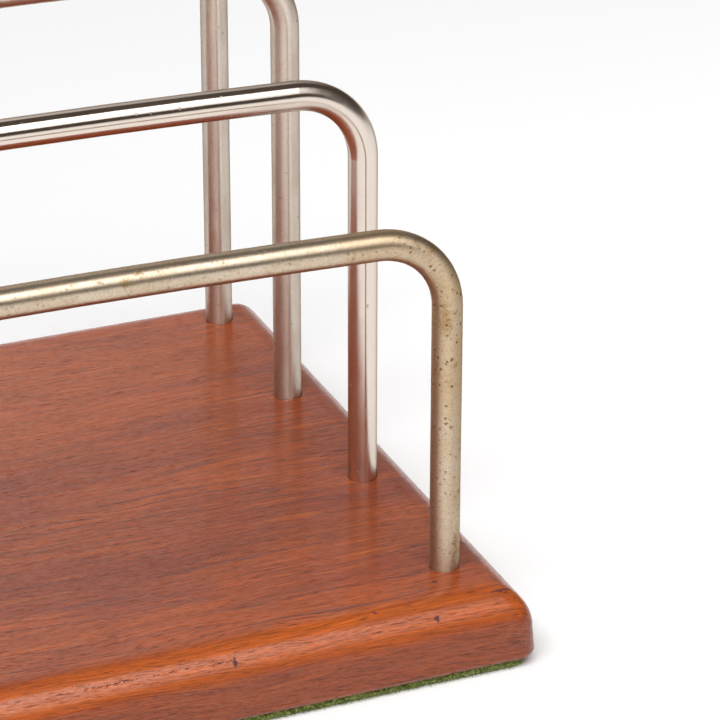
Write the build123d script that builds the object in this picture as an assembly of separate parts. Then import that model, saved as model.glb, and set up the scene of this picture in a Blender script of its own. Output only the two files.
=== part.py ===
from build123d import *
import math
import os

# A desk letter rack: four bent metal rods, taller towards the back, stand in a rounded wooden board
# that rests on a glued felt pad. Millimetres. +X runs to the right along the front edge, +Y runs from
# the lowest hoop to the tallest, +Z is up. The origin is the middle of the felt's underside.

# Rods. A hoop's height is taken from the board's top to the rod's centreline at the top of its bends.
ROD_DIAMETER = 5.2
HOOP_HEIGHTS = {
    "front_hoop": 62.0,
    "second_hoop": 75.0,
    "third_hoop": 86.0,
    "rear_hoop": 95.0,
}
HOOP_PITCH = 36.0
LEG_SPAN = 160.0  # between the centrelines of a hoop's two legs
BEND_RADIUS = 13.0  # of the centreline
CROWN_RADIUS = 2000.0  # the bar between the bends arches by about 1 mm
ROD_END_CHAMFER = 0.4

# Blind holes in the board, one for each leg
HOLE_DEPTH = 9.0
GLUE_GAP = 0.05  # between the rod and the wall of its hole

# Board. Its sides lean in towards the top. The margins are from the outer legs' centrelines to the
# board's lower edge.
BOARD_THICKNESS = 12.5
FRONT_MARGIN = 15.5
REAR_MARGIN = 11.3
SIDE_MARGIN = 11.5
SIDE_LEAN = 5.0  # degrees from upright
TOP_ROUNDOVER = 7.0
CORNER_RADIUS = 3.8  # seen from above, at the lower edge
BOTTOM_EASE = 1.2

# Felt pad under the board, set in from the board's lower edge
FELT_THICKNESS = 1.6
FELT_EDGE_INSET = 0.8  # along the front and the back
FELT_END_INSET = 1.5
FELT_CORNER_RADIUS = 2.5

BOARD_LENGTH = LEG_SPAN + 2 * SIDE_MARGIN
HOOP_STACK = HOOP_PITCH * (len(HOOP_HEIGHTS) - 1)
BOARD_DEPTH = FRONT_MARGIN + HOOP_STACK + REAR_MARGIN
BOARD_TOP = FELT_THICKNESS + BOARD_THICKNESS
FRONT_HOOP_Y = FRONT_MARGIN - BOARD_DEPTH / 2


def hoop_y(index):
    """Y of a hoop's plane, counting from the front."""
    return FRONT_HOOP_Y + index * HOOP_PITCH


def felt_pad():
    """Flat sheet, a little smaller than the board's underside."""
    length = BOARD_LENGTH - 2 * FELT_END_INSET
    depth = BOARD_DEPTH - 2 * FELT_EDGE_INSET
    return extrude(RectangleRounded(length, depth, FELT_CORNER_RADIUS), FELT_THICKNESS)


def leg_hole(x, y):
    """Blind hole for one leg, drilled from the board's top."""
    drill = Cylinder(
        ROD_DIAMETER / 2 + GLUE_GAP,
        HOLE_DEPTH,
        align=(Align.CENTER, Align.CENTER, Align.MAX),
    )
    return Pos(x, y, BOARD_TOP) * drill


def base_board():
    """Board with a routed round-over along its top edges and a blind hole under each leg."""
    outline = Pos(0, 0, FELT_THICKNESS) * RectangleRounded(BOARD_LENGTH, BOARD_DEPTH, CORNER_RADIUS)
    board = extrude(outline, BOARD_THICKNESS, taper=SIDE_LEAN)
    board = fillet(board.faces().sort_by(Axis.Z)[-1].edges(), TOP_ROUNDOVER)
    board = fillet(board.faces().sort_by(Axis.Z)[0].edges(), BOTTOM_EASE)
    for index in range(len(HOOP_HEIGHTS)):
        for side in (-1, 1):
            board -= leg_hole(side * LEG_SPAN / 2, hoop_y(index))
    return board


def hoop_path(height, y):
    """Centreline: leg, bend, gently crowned bar, bend, leg, in the plane of the hoop."""
    crown_half_angle = math.degrees(
        math.asin((LEG_SPAN / 2 - BEND_RADIUS) / (CROWN_RADIUS - BEND_RADIUS))
    )
    leg_bottom = BOARD_TOP - HOLE_DEPTH
    leg_top = BOARD_TOP + height - BEND_RADIUS
    # In this plane the first direction is world +X and the second is world +Z.
    hoop_plane = Plane((0, y, 0), x_dir=(1, 0, 0), z_dir=(0, -1, 0))
    with BuildLine(hoop_plane) as path:
        right_leg = Line((LEG_SPAN / 2, leg_bottom), (LEG_SPAN / 2, leg_top))
        right_bend = JernArc(right_leg @ 1, right_leg % 1, BEND_RADIUS, 90 - crown_half_angle)
        bar = JernArc(right_bend @ 1, right_bend % 1, CROWN_RADIUS, 2 * crown_half_angle)
        JernArc(bar @ 1, bar % 1, BEND_RADIUS, 90 - crown_half_angle)
        Line((-LEG_SPAN / 2, leg_top), (-LEG_SPAN / 2, leg_bottom))
    return path.line


def hoop(height, y):
    """One rod, bent to shape, with its two cut ends chamfered."""
    path = hoop_path(height, y)
    section = Plane(origin=path @ 0, z_dir=path % 0) * Circle(ROD_DIAMETER / 2)
    rod = sweep(section, path)
    end_edges = rod.edges().filter_by(GeomType.CIRCLE).group_by(Axis.Z)[0]
    return chamfer(end_edges, ROD_END_CHAMFER)


def build_parts():
    """Every sub-part by its node name."""
    parts = {"felt_pad": felt_pad(), "base_board": base_board()}
    for index, (name, height) in enumerate(HOOP_HEIGHTS.items()):
        parts[name] = hoop(height, hoop_y(index))
    return parts


os.makedirs("parts", exist_ok=True)
for node, shape in build_parts().items():
    export_step(shape, f"parts/{node}.step")
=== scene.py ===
import math
import random

import bpy
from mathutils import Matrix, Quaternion, Vector, noise


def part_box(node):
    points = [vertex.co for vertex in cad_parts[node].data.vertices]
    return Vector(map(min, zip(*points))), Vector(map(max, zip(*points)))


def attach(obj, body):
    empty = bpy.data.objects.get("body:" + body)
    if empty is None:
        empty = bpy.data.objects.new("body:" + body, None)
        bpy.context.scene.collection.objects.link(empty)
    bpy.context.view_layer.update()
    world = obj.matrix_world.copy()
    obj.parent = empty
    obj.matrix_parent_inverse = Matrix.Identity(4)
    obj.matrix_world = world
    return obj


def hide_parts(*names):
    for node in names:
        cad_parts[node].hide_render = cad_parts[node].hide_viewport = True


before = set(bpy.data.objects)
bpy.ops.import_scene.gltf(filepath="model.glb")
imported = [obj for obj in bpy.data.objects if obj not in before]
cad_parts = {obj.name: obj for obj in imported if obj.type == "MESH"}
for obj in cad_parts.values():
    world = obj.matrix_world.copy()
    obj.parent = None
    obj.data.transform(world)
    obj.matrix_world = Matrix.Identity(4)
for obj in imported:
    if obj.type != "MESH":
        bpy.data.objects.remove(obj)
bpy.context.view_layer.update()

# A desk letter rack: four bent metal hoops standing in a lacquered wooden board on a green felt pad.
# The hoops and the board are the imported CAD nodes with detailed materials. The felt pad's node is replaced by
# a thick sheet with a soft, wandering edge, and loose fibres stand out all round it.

MM = 0.001

# Camera: a long lens looking down on the front right corner from the left.
LENS_MM = 185.98
SENSOR_MM = 36.0
CAMERA_YAW = math.radians(22.88)     # turned to the right of straight ahead
CAMERA_PITCH = math.radians(25.71)   # tilted down
CAMERA_ROLL = math.radians(-0.07)
CAMERA_FROM_FOOT = Vector((-230.50, -509.03, 307.93)) * MM   # from the front hoop's right foot

# Studio light, placed by three angles in degrees. RISE goes round across the hoops' bars: 0 is the front
# horizon, 90 straight up and 180 the back horizon. SIDE is how far to the right of that plane a direction is,
# and LIFT its height above the horizon. Strengths are radiances; the lit floor comes out a little above 1.
SOFTBOX_RISE = (31, 79)
SOFTBOX_SIDE = (-60, 20.5)
SOFTBOX_FADE = (2, 5)                # half the width of its soft edges, in rise and in side
SOFTBOX_LIFT = (44, 31)              # of its lower edge, far left and in the middle
SOFTBOX_LIFT_SIDE = (-35, -10)       # between these the lower edge comes down
SOFTBOX_LIFT_FADE = 2
SOFTBOX_STRENGTH = (2.0, 4.4)        # at its lower edge and from SOFTBOX_FULL_RISE upward
SOFTBOX_FULL_RISE = 60
SOFTBOX_LEFT_GAIN = 1.8              # how much brighter it is on the left
SOFTBOX_GAIN_SIDE = (-25, 0)         # between these the gain goes back to 1
OVERHEAD_RISE = (79, 125)            # a second softbox, over the left side
OVERHEAD_SIDE = (-50, -22)
OVERHEAD_FADE = (3, 5)
OVERHEAD_STRENGTH = 1.5
BACKDROP_RISE = (122, 133)           # its upper edge
BACKDROP_SIDE = (-25, 40)
BACKDROP_STRENGTH = 0.86
BACKDROP_DIM_SIDE = (10, 26)         # between these it dims to its right part's share
BACKDROP_RIGHT_SHARE = 0.3
GLOW_STRENGTH = 0.9                  # a glow low over the horizon
GLOW_LIFT = (2, 9)
GLOW_SIDE = (-35, 30)                # beyond it the room is dark
WIDE_FADE = 8                        # of the backdrop's and the glow's ends
ROOM_COLOUR = (1.0, 0.82, 0.66, 1)
ROOM_STRENGTH = 0.08

# Floor: white paper, with painted shade that darkens it towards the back where the light falls off
FLOOR_RADIUS = 12.0
FLOOR_SIDES = 96
FLOOR_NEAR = (0.945, 0.95, 0.96, 1)
FLOOR_FAR_SHADED = (0.760, 0.770, 0.782, 1)
FLOOR_FADE_Y = (-60, 380)            # millimetres
FLOOR_UNEVENNESS = 60.0              # of that fade, in millimetres

# Wood. Its rates are how many blotches there are in a millimetre: along the grain, from layer to layer and in
# height for the first five, and in x, y and z for the others.
BAND_RATES = (0.014, 0.11, 0.1)
STREAK_RATES = (0.035, 0.9, 0.6)
FIBRE_RATES = (0.11, 4.6, 3.2)
PORE_RATES = (0.34, 8.0, 5.5)
VEIN_RATES = (0.018, 2.4, 1.8)
WAVER_RATES = (0.011, 0.04, 0.04)
SPECKLE_RATES = (0.9, 4.0, 4.0)
LACQUER_RATES = (0.25, 0.8, 0.8)
LAYER_WAVER = 12.0                   # millimetres
LAYER_AXIS = (160.0, 90.0)           # millimetres in front of and below the origin
WOOD_DARK_BAND = (0.246, 0.047, 0.017, 1)
WOOD_PALE_BAND = (0.332, 0.067, 0.015, 1)
BROWN_STREAK = (0.165, 0.048, 0.028, 1)
ORANGE_STREAK = (0.475, 0.115, 0.017, 1)
DARK_VEIN = (0.120, 0.036, 0.030, 1)
# painted sheen: the orange glow of the rounded upper edges, where the stain is worn too
EDGE_SHEEN_WOOD = (0.520, 0.110, 0.009, 1)
# painted shade: the sides below the rounded edges, darker
SIDE_SHADE_WOOD = (0.160, 0.031, 0.010, 1)
FADED_WOOD = (0.520, 0.125, 0.034, 1)
PORE_COLOUR = (0.060, 0.018, 0.012, 1)
DENT_COLOUR = (0.050, 0.026, 0.036, 1)
SHEEN_SIDES = (8.0, 3.5)            # millimetres in from the front and back where the painted sheen and wear start and are full
SHEEN_ENDS = (5.0, 1.5)             # the same from the left and right ends
SHEEN_DOWN = (5.5, 2.5)             # the same from the top
SIDE_SHADE_DOWN = (3.5, 6.5)             # millimetres down where the painted shade on the sides starts and is darkest
LACQUER_DEPTH = 0.012 * MM           # how uneven the lacquer is, and the grain under it

# Metal. Its film darkens it by the edge tint where it is seen at a low angle.
EDGE_TINT = (0.42, 0.36, 0.30, 1)
FILM_COLOUR = (0.56, 0.38, 0.19, 1)
MOTTLE_COLOUR = (0.34, 0.23, 0.12, 1)
GRIME_COLOUR = (0.33, 0.23, 0.12, 1)
STAIN_COLOUR = (0.40, 0.24, 0.075, 1)
RUST_COLOUR = (0.180, 0.095, 0.030, 1)
FILM_RATE = 0.16                     # blotches in a millimetre, like the others
MOTTLE_RATE = 1.1
GRIME_RATE = 3.2
RUST_RATE = 2.4
SMALL_PIT = (0.85, 0.26)             # millimetres apart and largest radius
LARGE_PIT = (1.9, 0.38)
PIT_SOFTNESS = 0.05                  # of their outlines, in millimetres
PIT_DEPTH = 0.02 * MM

# Felt pad
FELT_GREEN = (0.150, 0.190, 0.036, 1)
FELT_PALE_GREEN = (0.270, 0.300, 0.078, 1)
DARK_FLECK = (0.042, 0.070, 0.012, 1)
PALE_FLECK = (0.480, 0.480, 0.210, 1)
FELT_SHEEN = (0.65, 0.85, 0.45, 1)
FELT_MOTTLE_RATE = 0.35              # blotches in a millimetre
FLECK_RATE = 2.4
FLECK_DEPTH = 0.25 * MM
FELT_TRIM = 0.30 * MM                # how far its soft edge has worn back
FELT_CORNER = 3.0 * MM
FELT_CORNER_STEPS = 8
FELT_EDGE_STEP = 0.6 * MM
FELT_WANDER = 0.22 * MM
FELT_WANDER_SIZE = 1.2 * MM
FELT_PROFILE = (                     # share of the thickness, and the cut edge's inset there in millimetres
    (0.0, 0.45), (0.12, 0.12), (0.35, 0.0), (0.65, 0.05), (0.88, 0.1), (1.0, 0.3))
FIBRES_PER_MM = 14
FIBRE_RADIUS = 0.03 * MM
FIBRE_LENGTH = (0.35, 1.25)          # millimetres
FIBRE_HEIGHT = (0.08, 0.92)          # share of the felt's thickness
FIBRE_RISE = (-0.5, 0.4)             # how far it goes up for its way outward
FIBRE_LEAN = (-1.2, 1.2)             # how far it goes along the edge for its way outward
FIBRE_CURL = (-0.2, 0.2)             # how far the tip is off line, as a share of the length, in x and in y
FIBRE_SAG = 0.25                     # and downward
FIBRE_MIDDLE = 0.55                  # share of the length
FIBRE_MIDDLE_GAP = 0.03 * MM         # least height over the floor
FIBRE_TIP_GAP = 0.02 * MM
FIBRE_TAPER = 0.8                    # radius at the middle against the root's


# ---------------------------------------------------------------- node helpers

def feed(tree, socket, value):
    """Links a socket to the input where value is one, and sets the input to value where it isn't."""
    if isinstance(value, bpy.types.NodeSocket):
        tree.links.new(value, socket)
    else:
        socket.default_value = value


def add(tree, kind, inputs=None, **settings):
    """Adds a shader node with its settings and what feeds its inputs."""
    made = tree.nodes.new("ShaderNode" + kind)
    for name, value in settings.items():
        setattr(made, name, value)
    for key, value in (inputs or {}).items():
        feed(tree, made.inputs[key], value)
    return made


def calc(tree, operation, a, b=0.0):
    return add(tree, "Math", {0: a, 1: b}, operation=operation).outputs[0]


def product(tree, total, *factors):
    for factor in factors:
        total = calc(tree, "MULTIPLY", total, factor)
    return total


def either(tree, greatest, *masks):
    """The greatest of several masks."""
    for mask in masks:
        greatest = calc(tree, "MAXIMUM", greatest, mask)
    return greatest


def remap(tree, value, low, high, to_low=0.0, to_high=1.0):
    """value taken smoothly from low..high to to_low..to_high, and held beyond them."""
    inputs = {"Value": value, "From Min": low, "From Max": high, "To Min": to_low, "To Max": to_high}
    return add(tree, "MapRange", inputs, interpolation_type="SMOOTHSTEP").outputs["Result"]


def vector_calc(tree, operation, a, b):
    return add(tree, "VectorMath", {0: a, 1: b}, operation=operation).outputs[0]


def separate(tree, vector):
    """The vector's x, y and z."""
    return add(tree, "SeparateXYZ", {0: vector}).outputs


def combine(tree, x, y, z):
    return add(tree, "CombineXYZ", {0: x, 1: y, 2: z}).outputs[0]


def blend_colour(tree, share, a, b, blend_type="MIX"):
    """The first colour with a share of the second."""
    inputs = {0: share, 6: a, 7: b}
    return add(tree, "Mix", inputs, data_type="RGBA", blend_type=blend_type).outputs[2]


def blotches(tree, vector, scale, detail=2.0, roughness=0.5):
    """Noise from 0 to 1, mostly near 0.5."""
    inputs = {"Vector": vector, "Scale": scale, "Detail": detail, "Roughness": roughness}
    return add(tree, "TexNoise", inputs).outputs["Fac"]


def drawn_out(tree, vector, scales, detail=2.0, roughness=0.5):
    """Noise with its own scale along x, y and z."""
    return blotches(tree, vector_calc(tree, "MULTIPLY", vector, scales), 1.0, detail, roughness)


def ragged(tree, place, scale, amount):
    """The coordinates shaken by noise, up to about half of amount, for uneven outlines."""
    shake = add(tree, "TexNoise", {"Vector": place, "Scale": scale, "Detail": 2.0}).outputs["Color"]
    centred = vector_calc(tree, "SUBTRACT", shake, (0.5, 0.5, 0.5))
    return vector_calc(tree, "ADD", place, vector_calc(tree, "MULTIPLY", centred, (amount, amount, amount)))


def spot(tree, place, centre, half_size, softness=0.4):
    """1 inside an ellipsoid round centre, fading to 0 across its surface."""
    away = vector_calc(tree, "SUBTRACT", place, centre)
    scaled = vector_calc(tree, "DIVIDE", away, half_size)
    distance = add(tree, "VectorMath", {0: scaled}, operation="LENGTH").outputs["Value"]
    return remap(tree, distance, 1 - softness, 1 + softness, 1.0, 0.0)


def spots(tree, place, ellipsoids, softness=0.4):
    """A spot for each pair of centre and half sizes."""
    return [spot(tree, place, centre, half_size, softness) for centre, half_size in ellipsoids]


def dots(tree, place, spacing, largest, share):
    """Scattered dots of up to largest radius in a share of cells that are spacing apart, in millimetres."""
    cells = add(tree, "TexVoronoi", {"Vector": place, "Scale": 1.0 / spacing}, feature="F1")
    chance = add(tree, "SeparateColor", {0: cells.outputs["Color"]}).outputs[0]
    soft = PIT_SOFTNESS / spacing
    radius = remap(tree, chance, 1.0 - share, 1.0, -2 * soft, largest / spacing)
    inside = calc(tree, "SUBTRACT", radius, cells.outputs["Distance"])
    return remap(tree, inside, -soft, soft)


def bump(tree, height, distance):
    inputs = {"Height": height, "Distance": distance, "Strength": 1.0}
    return add(tree, "Bump", inputs).outputs["Normal"]


def new_material(name):
    """A material with its tree, its Principled shader and the coordinates in millimetres."""
    material = bpy.data.materials.new(name)
    material.use_nodes = True
    tree = material.node_tree
    shader = tree.nodes["Principled BSDF"]
    place = add(tree, "TexCoord").outputs["Object"]
    in_mm = vector_calc(tree, "MULTIPLY", place, (1000, 1000, 1000))
    return material, tree, shader, in_mm


def set_inputs(tree, shader, values):
    for name, value in values.items():
        feed(tree, shader.inputs[name], value)


# ---------------------------------------------------------------- wood

def lacquered_wood():
    """Reddish wood, its grain along x: soft streaks, fine fibres and dark pores under clear lacquer."""
    material, tree, shader, place = new_material("lacquered_wood")
    layers = growth_layers(tree, place)
    streaks = drawn_out(tree, layers, STREAK_RATES, 4.0, 0.65)
    fibres = drawn_out(tree, layers, FIBRE_RATES, 5.0, 0.74)
    pores = remap(tree, drawn_out(tree, layers, PORE_RATES, 1.5), 0.60, 0.68)
    dents = either(tree, *spots(tree, ragged(tree, place, 1.4, 0.9), wood_dents()))

    colour = wood_bands(tree, layers, streaks)
    colour = wood_wear_sheen_and_shade(tree, place, colour)
    shade = remap(tree, fibres, 0.3, 0.7, 0.66, 1.34)
    colour = blend_colour(tree, 1.0, colour, combine(tree, shade, shade, shade), "MULTIPLY")
    colour = blend_colour(tree, product(tree, pores, 0.7), colour, PORE_COLOUR)
    colour = blend_colour(tree, product(tree, dents, 0.85), colour, DENT_COLOUR)
    grain = calc(tree, "SUBTRACT", product(tree, fibres, 0.4), pores)
    set_inputs(tree, shader, {
        "Base Color": colour,
        "Roughness": remap(tree, fibres, 0.3, 0.7, 0.44, 0.56),
        "Specular IOR Level": 0.15,
        "Normal": bump(tree, grain, LACQUER_DEPTH),
    })
    lacquer(tree, shader, place, streaks, fibres, pores, dents)
    return material


def growth_layers(tree, place):
    """Coordinates along the grain, from layer to layer and in height. The layers lie round an axis far in
    front of and below the board, and waver a little."""
    x, y, z = separate(tree, place)
    front, below = LAYER_AXIS
    across = calc(tree, "POWER", calc(tree, "ADD", y, front), 2.0)
    upward = calc(tree, "POWER", calc(tree, "ADD", z, below), 2.0)
    radius = calc(tree, "SQRT", calc(tree, "ADD", across, upward))
    waver = drawn_out(tree, place, WAVER_RATES, 3.0)
    layer = calc(tree, "ADD", radius, product(tree, waver, LAYER_WAVER))
    return combine(tree, x, layer, product(tree, z, 0.3))


def wood_bands(tree, layers, streaks):
    """The wood's own colours: broad bands, brown and orange streaks and thin dark veins."""
    bands = drawn_out(tree, layers, BAND_RATES, 3.0, 0.55)
    veins = drawn_out(tree, layers, VEIN_RATES)
    colour = blend_colour(tree, remap(tree, bands, 0.36, 0.64), WOOD_DARK_BAND, WOOD_PALE_BAND)
    colour = blend_colour(tree, remap(tree, streaks, 0.5, 0.72, 0.0, 0.5), colour, BROWN_STREAK)
    colour = blend_colour(tree, remap(tree, streaks, 0.46, 0.3, 0.0, 0.4), colour, ORANGE_STREAK)
    return blend_colour(tree, remap(tree, veins, 0.57, 0.68, 0.0, 0.6), colour, DARK_VEIN)


def wood_wear_sheen_and_shade(tree, place, colour):
    """Painted sheen along the rounded upper edges, where the stain is also worn thin; painted shade on the
    sides below them; and a paler part of the top."""
    low, high = (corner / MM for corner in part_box("base_board"))
    middle = (low + high) / 2
    half = (high - low) / 2
    # The inner edge of the band of painted sheen and wear wanders, slowly along the board.
    shaken = ragged(tree, vector_calc(tree, "MULTIPLY", place, (0.12, 1.0, 1.0)), 0.5, 5.0)
    out_x = calc(tree, "ABSOLUTE", calc(tree, "SUBTRACT", separate(tree, place)["X"], middle.x))
    out_y = calc(tree, "ABSOLUTE", calc(tree, "SUBTRACT", separate(tree, shaken)["Y"], middle.y))
    z = separate(tree, place)["Z"]
    along_edges = either(tree, near_edge(tree, out_y, half.y, *SHEEN_SIDES),
                         near_edge(tree, out_x, half.x, *SHEEN_ENDS, 0.6))
    # painted sheen along the rounded upper edges, with the stain worn there
    sheen_and_wear = product(tree, along_edges, near_edge(tree, z, high.z, *SHEEN_DOWN))
    # painted shade on the sides below the rounded edges
    painted_side_shade = near_edge(tree, z, high.z, *SIDE_SHADE_DOWN)
    faded = either(tree, *spots(tree, place, faded_places(), 0.9))
    # the painted sheen of the rounded upper edges, with worn stain
    colour = blend_colour(tree, product(tree, sheen_and_wear, 0.45), colour, EDGE_SHEEN_WOOD)
    # the painted shade on the sides
    colour = blend_colour(tree, product(tree, painted_side_shade, 0.5), colour, SIDE_SHADE_WOOD)
    return blend_colour(tree, product(tree, faded, 0.4), colour, FADED_WOOD)


def near_edge(tree, distance, edge, start, full, most=1.0):
    """Rises from 0, at start short of the edge, to most, at full short of it."""
    return remap(tree, distance, edge - start, edge - full, 0.0, most)


def lacquer(tree, shader, place, streaks, fibres, pores, dents):
    """A clear, slightly uneven coat that is thin over the pores and broken at the dents."""
    speckle = drawn_out(tree, place, SPECKLE_RATES, 4.0, 0.8)
    gaps = either(tree, product(tree, pores, 0.6), product(tree, dents, 0.8))
    surface = calc(tree, "ADD", drawn_out(tree, place, LACQUER_RATES), product(tree, fibres, 0.55))
    surface = calc(tree, "SUBTRACT", surface, product(tree, pores, 0.35))
    surface = calc(tree, "SUBTRACT", surface, product(tree, dents, 2.0))
    set_inputs(tree, shader, {
        "Coat IOR": 1.5,
        "Coat Weight": calc(tree, "SUBTRACT", remap(tree, speckle, 0.36, 0.64, 0.25, 1.1), gaps),
        "Coat Roughness": remap(tree, streaks, 0.3, 0.7, 0.15, 0.21),
        "Coat Normal": bump(tree, surface, LACQUER_DEPTH),
    })


def offset_from(corner, places):
    """Centres and half sizes for a material, from centres that are measured from the corner."""
    return [(tuple(corner + Vector(offset)), half_size) for offset, half_size in places]


def wood_dents():
    """Small dark knocks and scratches along the board's front right edge."""
    low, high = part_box("base_board")
    corner = Vector((high.x, low.y, high.z)) / MM
    return offset_from(corner, (
        ((-54.8, 2.3, -2.3), (0.30, 0.9, 0.9)),
        ((-57.0, 2.4, -1.9), (2.4, 0.16, 0.16)),
        ((-75.0, 2.6, -1.7), (17.0, 0.14, 0.14)),
        ((-18.4, 2.4, -2.2), (0.32, 0.7, 0.7)),
        ((-15.3, 10.7, 0.0), (0.45, 0.4, 0.3)),
        ((-28.5, 5.4, -0.3), (0.35, 0.25, 0.3)),
        ((-6.0, 4.7, -0.7), (2.6, 0.24, 0.3)),
    ))


def faded_places():
    """The paler part of the board's top, left of the middle and towards the back."""
    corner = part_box("base_board")[1] / MM
    return offset_from(corner, (
        ((-95.0, -8.0, 0.0), (75.0, 34.0, 20.0)),
    ))


# ---------------------------------------------------------------- metal

def plated_metal(name, colour, roughness, brushed=0.95, tarnish=0.0, pitting=0.0, stains=(), handled=()):
    """Nickel plate. roughness is a pair: where its film is thinnest and where it is thickest. brushed, 0 to
    1, is how far its gloss is drawn out along the rod; tarnish, 0 to 1, is how far the yellow-brown film has
    grown; pitting is how many pits there are. stains are the centres and half sizes of rusty marks, and
    handled those of places where film and pits are thickest."""
    material, tree, shader, place = new_material(name)
    touched = either(tree, 0.0, *spots(tree, place, handled, 0.7))
    film = remap(tree, blotches(tree, place, FILM_RATE, 4.0, 0.62), 0.2, 0.8, 0.4, 0.6)
    film = calc(tree, "ADD", film, product(tree, touched, 0.14))
    mottle = blotches(tree, place, MOTTLE_RATE, 4.0, 0.7)
    shown = tarnished(tree, place, colour, film, mottle, tarnish)

    stained = spots(tree, ragged(tree, place, 0.9, 3.0), stains, 0.6)
    for inside in stained:
        shown = blend_colour(tree, product(tree, inside, 0.6), shown, STAIN_COLOUR)
    rust = remap(tree, blotches(tree, place, RUST_RATE, 3.0, 0.7), 0.5, 0.68)
    rusty = [product(tree, inside, rust) for inside in stained]
    marks = either(tree, pits(tree, place, touched, pitting), *rusty)
    height = calc(tree, "SUBTRACT", product(tree, mottle, tarnish * 0.5), marks)
    low, high = roughness
    set_inputs(tree, shader, {
        "Base Color": blend_colour(tree, marks, shown, RUST_COLOUR),
        "Metallic": remap(tree, marks, 0.0, 1.0, 1.0, 0.25),
        "Roughness": calc(tree, "ADD", remap(tree, film, 0.4, 0.6, low, high), product(tree, marks, 0.3)),
        "Normal": bump(tree, height, PIT_DEPTH),
        "Specular Tint": EDGE_TINT,
        "Anisotropic": brushed,
        "Tangent": rod_direction(tree),
    })
    return material


def tarnished(tree, place, colour, film, mottle, tarnish):
    """The plate's colour under a film, with mottling and grime in it."""
    grime = blotches(tree, place, GRIME_RATE, 3.0, 0.75)
    colour = blend_colour(tree, remap(tree, film, 0.36, 0.80, 0.0, tarnish), colour, FILM_COLOUR)
    colour = blend_colour(tree, remap(tree, mottle, 0.48, 0.75, 0.0, 0.5 * tarnish), colour, MOTTLE_COLOUR)
    return blend_colour(tree, remap(tree, grime, 0.5, 0.64, 0.0, 0.6 * tarnish), colour, GRIME_COLOUR)


def pits(tree, place, touched, pitting):
    """Pits of two sizes, darkest where the hoop has been held."""
    uneven = ragged(tree, place, 3.0, 0.6)
    small = dots(tree, uneven, *SMALL_PIT, 0.9 * pitting)
    large = dots(tree, uneven, *LARGE_PIT, 0.6 * pitting)
    return product(tree, either(tree, small, large), remap(tree, touched, 0.0, 1.0, 0.35, 0.9))


def rod_direction(tree):
    """The way the rod runs: a hoop lies flat across y, so it is square to y and to the surface's normal."""
    normal = add(tree, "NewGeometry").outputs["Normal"]
    return vector_calc(tree, "CROSS_PRODUCT", normal, (0, 1, 0))


def tarnished_plate():
    """The front hoop's plate: dull, brownish, pitted and stained."""
    return plated_metal("tarnished_plate", (0.68, 0.58, 0.46, 1), (0.40, 0.48), brushed=0.75, tarnish=0.75,
                        pitting=0.9, stains=hoop_stains(), handled=handled_places())


def bright_plate():
    """The second hoop's plate: the brightest, with hardly a pit."""
    return plated_metal("bright_plate", (0.75, 0.66, 0.585, 1), (0.16, 0.22), pitting=0.06)


def satin_plate():
    """The plate of the last two hoops."""
    return plated_metal("satin_plate", (0.70, 0.61, 0.535, 1), (0.30, 0.38), tarnish=0.25, pitting=0.12)


def front_bend():
    """The outer corner of the front hoop's right bend, at the rod's front, in millimetres."""
    low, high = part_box("front_hoop")
    return Vector((high.x, low.y, high.z)) / MM


def hoop_stains():
    """Rusty marks on the front hoop: round its right bend, on its bar and down its right leg."""
    return offset_from(front_bend(), (
        ((-3.9, 0.3, -18.0), (0.9, 1.5, 2.6)),
        ((-5.9, 1.1, -5.2), (1.0, 1.2, 0.8)),
        ((-9.1, 0.9, -3.3), (0.7, 1.0, 0.6)),
        ((-59.6, 0.1, -1.9), (0.9, 1.0, 0.6)),
        ((-57.1, 1.1, -0.7), (0.6, 1.0, 0.5)),
        ((-1.5, 0.2, -61.0), (0.6, 1.2, 3.0)),
        ((-3.4, 0.1, -29.7), (0.4, 0.5, 0.4)),
        ((-1.8, 0.1, -26.7), (0.4, 0.5, 0.4)),
        ((-2.3, 0.0, -17.0), (0.3, 0.5, 0.5)),
    ))


def handled_places():
    """Where the front hoop has been held: its right leg and bend."""
    return offset_from(front_bend(), (
        ((-6.0, 2.5, -22.0), (16.0, 16.0, 26.0)),
    ))


# ---------------------------------------------------------------- felt pad

def green_felt():
    """Pressed wool: mottled green with darker and lighter flecks, matt and fuzzy."""
    material, tree, shader, place = new_material("wool_felt")
    mottle = blotches(tree, place, FELT_MOTTLE_RATE, 4.0, 0.6)
    flecks = blotches(tree, place, FLECK_RATE, 3.0, 0.7)
    colour = blend_colour(tree, remap(tree, mottle, 0.3, 0.7), FELT_GREEN, FELT_PALE_GREEN)
    colour = blend_colour(tree, remap(tree, flecks, 0.5, 0.57, 0.0, 0.9), colour, DARK_FLECK)
    colour = blend_colour(tree, remap(tree, flecks, 0.44, 0.36, 0.0, 0.8), colour, PALE_FLECK)
    set_inputs(tree, shader, {
        "Base Color": colour,
        "Roughness": 0.95,
        "Specular IOR Level": 0.2,
        "Sheen Weight": 0.35,
        "Sheen Roughness": 0.5,
        "Sheen Tint": FELT_SHEEN,
        "Normal": bump(tree, flecks, FLECK_DEPTH),
    })
    return material


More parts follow.
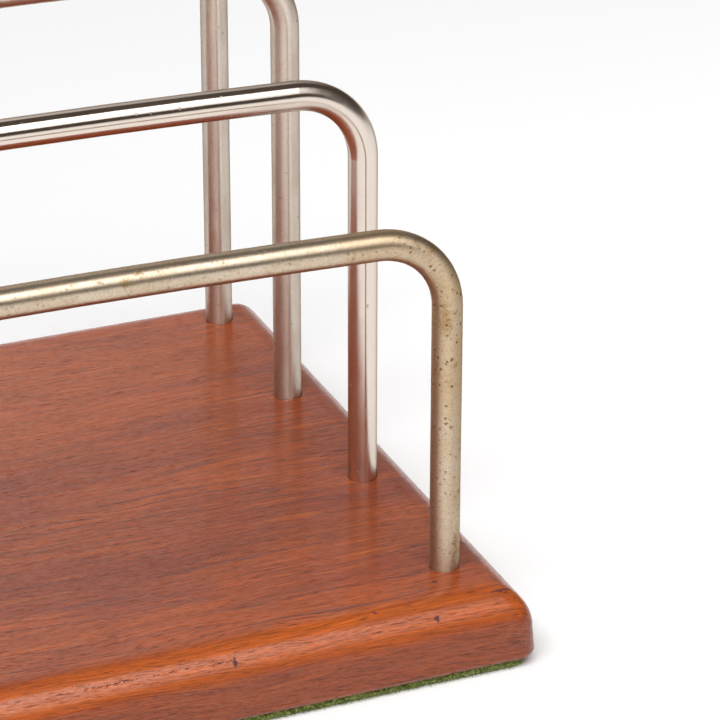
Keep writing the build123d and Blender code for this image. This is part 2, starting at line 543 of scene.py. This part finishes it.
def rounded_outline(low, high, radius, step, corner_steps):
    """Points and outward directions round a rectangle with rounded corners, seen from above. The points are
    about a step apart along the sides, with corner_steps of them round each corner."""
    points = []
    sides = (
        (Vector((high.x, low.y + radius)), Vector((0, 1)), high.y - low.y - 2 * radius),
        (Vector((high.x - radius, high.y)), Vector((-1, 0)), high.x - low.x - 2 * radius),
        (Vector((low.x, high.y - radius)), Vector((0, -1)), high.y - low.y - 2 * radius),
        (Vector((low.x + radius, low.y)), Vector((1, 0)), high.x - low.x - 2 * radius),
    )
    for start, along, length in sides:
        out = Vector((along.y, -along.x))
        count = round(length / step)
        for i in range(count):
            points.append((start + along * (length * i / count), out))
        corner = start + along * length - out * radius
        for i in range(corner_steps):
            angle = math.radians(90) * i / corner_steps
            turned = out * math.cos(angle) + along * math.sin(angle)
            points.append((corner + turned * radius, turned))
    return points


def felt_outline():
    """The pad's outline, a little inside the CAD pad's."""
    low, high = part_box("felt_pad")
    trim = Vector((FELT_TRIM, FELT_TRIM, 0))
    return rounded_outline(low + trim, high - trim, FELT_CORNER, FELT_EDGE_STEP, FELT_CORNER_STEPS)


def felt_pad(outline, material):
    """The pad, as a thick sheet whose cut edge wanders a little and is softly rounded."""
    low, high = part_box("felt_pad")
    vertices = []
    for share, inset in FELT_PROFILE:
        height = low.z + share * (high.z - low.z)
        for point, out in outline:
            sway = noise.noise(Vector((point.x, point.y, height)) / FELT_WANDER_SIZE)
            placed = point - out * (inset * MM + FELT_WANDER * (1 + sway))
            vertices.append((placed.x, placed.y, height))
    around = len(outline)
    faces = [tuple(reversed(range(around)))]
    for base in range(0, len(vertices) - around, around):
        for i in range(around):
            j = (i + 1) % around
            faces.append((base + i, base + j, base + around + j, base + around + i))
    faces.append(tuple(range(len(vertices) - around, len(vertices))))
    made = mesh_object("felt", vertices, faces, material)
    made.data.shade_smooth()
    return made


def felt_fuzz(outline, material):
    """Loose fibres that stand out of the felt's cut edge."""
    low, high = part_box("felt_pad")
    dice = random.Random(11)
    vertices, faces = [], []
    for index, (point, out) in enumerate(outline):
        after = outline[(index + 1) % len(outline)][0]
        gap = (after - point).length / MM
        for _ in range(max(1, round(gap * FIBRES_PER_MM))):
            root = point.lerp(after, dice.random()) - out * (2 * FELT_WANDER)
            height = low.z + (high.z - low.z) * dice.uniform(*FIBRE_HEIGHT)
            start = Vector((root.x, root.y, height))
            lean = Vector((out.x, out.y, dice.uniform(*FIBRE_RISE)))
            lean += Vector((-out.y, out.x, 0)) * dice.uniform(*FIBRE_LEAN)
            length = dice.uniform(*FIBRE_LENGTH) * MM
            curl = Vector((dice.uniform(*FIBRE_CURL), dice.uniform(*FIBRE_CURL), -FIBRE_SAG)) * length
            middle = start + lean.normalized() * length * FIBRE_MIDDLE
            tip = start + lean.normalized() * length + curl
            middle.z = min(max(middle.z, low.z + FIBRE_MIDDLE_GAP), high.z)
            tip.z = min(max(tip.z, low.z + FIBRE_TIP_GAP), high.z)
            add_fibre(vertices, faces, start, middle, tip)
    return mesh_object("felt_fuzz", vertices, faces, material)


def add_fibre(vertices, faces, start, middle, tip):
    """A three-sided hair from start through middle, tapering to tip."""
    first = len(vertices)
    line = (tip - start).normalized()
    across = line.cross(Vector((0, 0, 1)))
    if across.length < 0.1:
        across = line.cross(Vector((1, 0, 0)))
    across.normalize()
    up = across.cross(line)
    for centre, radius in ((start, FIBRE_RADIUS), (middle, FIBRE_RADIUS * FIBRE_TAPER)):
        for k in range(3):
            angle = math.radians(120 * k)
            vertices.append(centre + (across * math.cos(angle) + up * math.sin(angle)) * radius)
    vertices.append(tip)
    faces.append((first + 2, first + 1, first))
    for k in range(3):
        after = (k + 1) % 3
        faces.append((first + k, first + after, first + 3 + after, first + 3 + k))
        faces.append((first + 3 + k, first + 3 + after, first + 6))


def linked(name, data):
    made = bpy.data.objects.new(name, data)
    bpy.context.scene.collection.objects.link(made)
    return made


def mesh_object(name, vertices, faces, material):
    mesh = bpy.data.meshes.new(name)
    mesh.from_pydata(vertices, [], faces)
    mesh.materials.append(material)
    return linked(name, mesh)


# ---------------------------------------------------------------- floor, light and camera

def shaded_floor_paper():
    """White paper, with painted shade darkening it towards the back along an uneven line."""
    material, tree, shader, place = new_material("shaded_floor_paper")
    y = separate(tree, place)["Y"]
    wander = product(tree, blotches(tree, place, 0.004), FLOOR_UNEVENNESS)
    # painted shade: the light's falloff towards the back, painted into the paper's colour
    painted_falloff = remap(tree, calc(tree, "ADD", y, wander), *FLOOR_FADE_Y)
    set_inputs(tree, shader, {
        "Base Color": blend_colour(tree, painted_falloff, FLOOR_NEAR, FLOOR_FAR_SHADED),
        "Roughness": 0.9,
        "Specular IOR Level": 0.1,
    })
    return material


def floor():
    turns = [2 * math.pi * i / FLOOR_SIDES for i in range(FLOOR_SIDES)]
    rim = [(FLOOR_RADIUS * math.cos(turn), FLOOR_RADIUS * math.sin(turn), 0) for turn in turns]
    made = mesh_object("floor", rim, [tuple(range(FLOOR_SIDES))], shaded_floor_paper())


def ramp(tree, angle, low, high, to_low, to_high):
    """Smoothly from to_low at low degrees to to_high at high degrees."""
    return remap(tree, angle, math.radians(low), math.radians(high), to_low, to_high)


def window(tree, angle, low, high, fade):
    """1 while the angle is between low and high degrees, fading over fade degrees to each side of both."""
    rising = ramp(tree, angle, low - fade, low + fade, 0.0, 1.0)
    falling = ramp(tree, angle, high - fade, high + fade, 1.0, 0.0)
    return product(tree, rising, falling)


def main_softbox(tree, rise, side, lift):
    """A long softbox in front and overhead, brighter to the left and with its lower edge higher there."""
    rise_fade, side_fade = SOFTBOX_FADE
    edge_lifts = [math.radians(angle) for angle in SOFTBOX_LIFT]
    over_edge = calc(tree, "SUBTRACT", lift, ramp(tree, side, *SOFTBOX_LIFT_SIDE, *edge_lifts))
    return product(
        tree,
        window(tree, rise, *SOFTBOX_RISE, rise_fade),
        window(tree, side, *SOFTBOX_SIDE, side_fade),
        ramp(tree, over_edge, -SOFTBOX_LIFT_FADE, SOFTBOX_LIFT_FADE, 0.0, 1.0),
        ramp(tree, rise, SOFTBOX_RISE[0], SOFTBOX_FULL_RISE, *SOFTBOX_STRENGTH),
        ramp(tree, side, *SOFTBOX_GAIN_SIDE, SOFTBOX_LEFT_GAIN, 1.0),
    )


def overhead_softbox(tree, rise, side):
    rise_fade, side_fade = OVERHEAD_FADE
    return product(
        tree,
        window(tree, rise, *OVERHEAD_RISE, rise_fade),
        window(tree, side, *OVERHEAD_SIDE, side_fade),
        OVERHEAD_STRENGTH,
    )


def backdrop(tree, rise, side):
    """A pale sheet behind, from its upper edge down."""
    return product(
        tree,
        ramp(tree, rise, *BACKDROP_RISE, 0.0, BACKDROP_STRENGTH),
        window(tree, side, *BACKDROP_SIDE, WIDE_FADE),
        ramp(tree, side, *BACKDROP_DIM_SIDE, 1.0, BACKDROP_RIGHT_SHARE),
    )


def horizon_glow(tree, side, lift):
    return product(
        tree,
        ramp(tree, lift, *GLOW_LIFT, GLOW_STRENGTH, 0.0),
        window(tree, side, *GLOW_SIDE, WIDE_FADE),
    )


def studio_light():
    """Light from all round: two softboxes, a pale backdrop, a glow at the horizon and a dark, warm room."""
    world = bpy.data.worlds.new("studio")
    world.use_nodes = True
    tree = world.node_tree
    tree.nodes.clear()
    x, y, z = separate(tree, add(tree, "TexCoord").outputs["Generated"])
    rise = calc(tree, "ARCTAN2", z, product(tree, y, -1.0))
    side = calc(tree, "ARCSINE", x)
    lift = calc(tree, "ARCSINE", z)
    boxes = calc(tree, "ADD", main_softbox(tree, rise, side, lift), overhead_softbox(tree, rise, side))
    sheets = calc(tree, "ADD", boxes, backdrop(tree, rise, side))
    total = calc(tree, "MAXIMUM", sheets, horizon_glow(tree, side, lift))
    studio = add(tree, "Background", {"Color": (1, 1, 1, 1), "Strength": total})
    room = add(tree, "Background", {"Color": ROOM_COLOUR, "Strength": ROOM_STRENGTH})
    both = add(tree, "AddShader", {0: studio.outputs[0], 1: room.outputs[0]})
    add(tree, "OutputWorld", {"Surface": both.outputs[0]})
    bpy.context.scene.world = world


def camera():
    low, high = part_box("front_hoop")
    rod_radius = (high.y - low.y) / 2
    board_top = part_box("base_board")[1].z
    foot = Vector((high.x - rod_radius, (low.y + high.y) / 2, board_top))
    lens = bpy.data.cameras.new("camera")
    lens.lens = LENS_MM
    lens.sensor_width = SENSOR_MM
    made = linked("camera", lens)
    made.location = foot + CAMERA_FROM_FOOT
    made.rotation_mode = "QUATERNION"
    forward = Vector((math.sin(CAMERA_YAW) * math.cos(CAMERA_PITCH),
                      math.cos(CAMERA_YAW) * math.cos(CAMERA_PITCH), -math.sin(CAMERA_PITCH)))
    level = forward.to_track_quat("-Z", "Y")
    made.rotation_quaternion = Quaternion(forward, CAMERA_ROLL) @ level
    bpy.context.scene.camera = made


# ---------------------------------------------------------------- the scene

def dress(node_name, material):
    """Gives a CAD node its detailed material."""
    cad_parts[node_name].material_slots[0].material = material


camera()
studio_light()
floor()

bpy.context.scene.view_settings.view_transform = "Standard"

dress("base_board", lacquered_wood())
dress("front_hoop", tarnished_plate())
dress("second_hoop", bright_plate())
satin = satin_plate()
dress("third_hoop", satin)
dress("rear_hoop", satin)

felt_material = green_felt()
felt_edge = felt_outline()
felt = felt_pad(felt_edge, felt_material)
fuzz = felt_fuzz(felt_edge, felt_material)
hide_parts("felt_pad")
for piece in (felt, fuzz):
    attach(piece, "root")
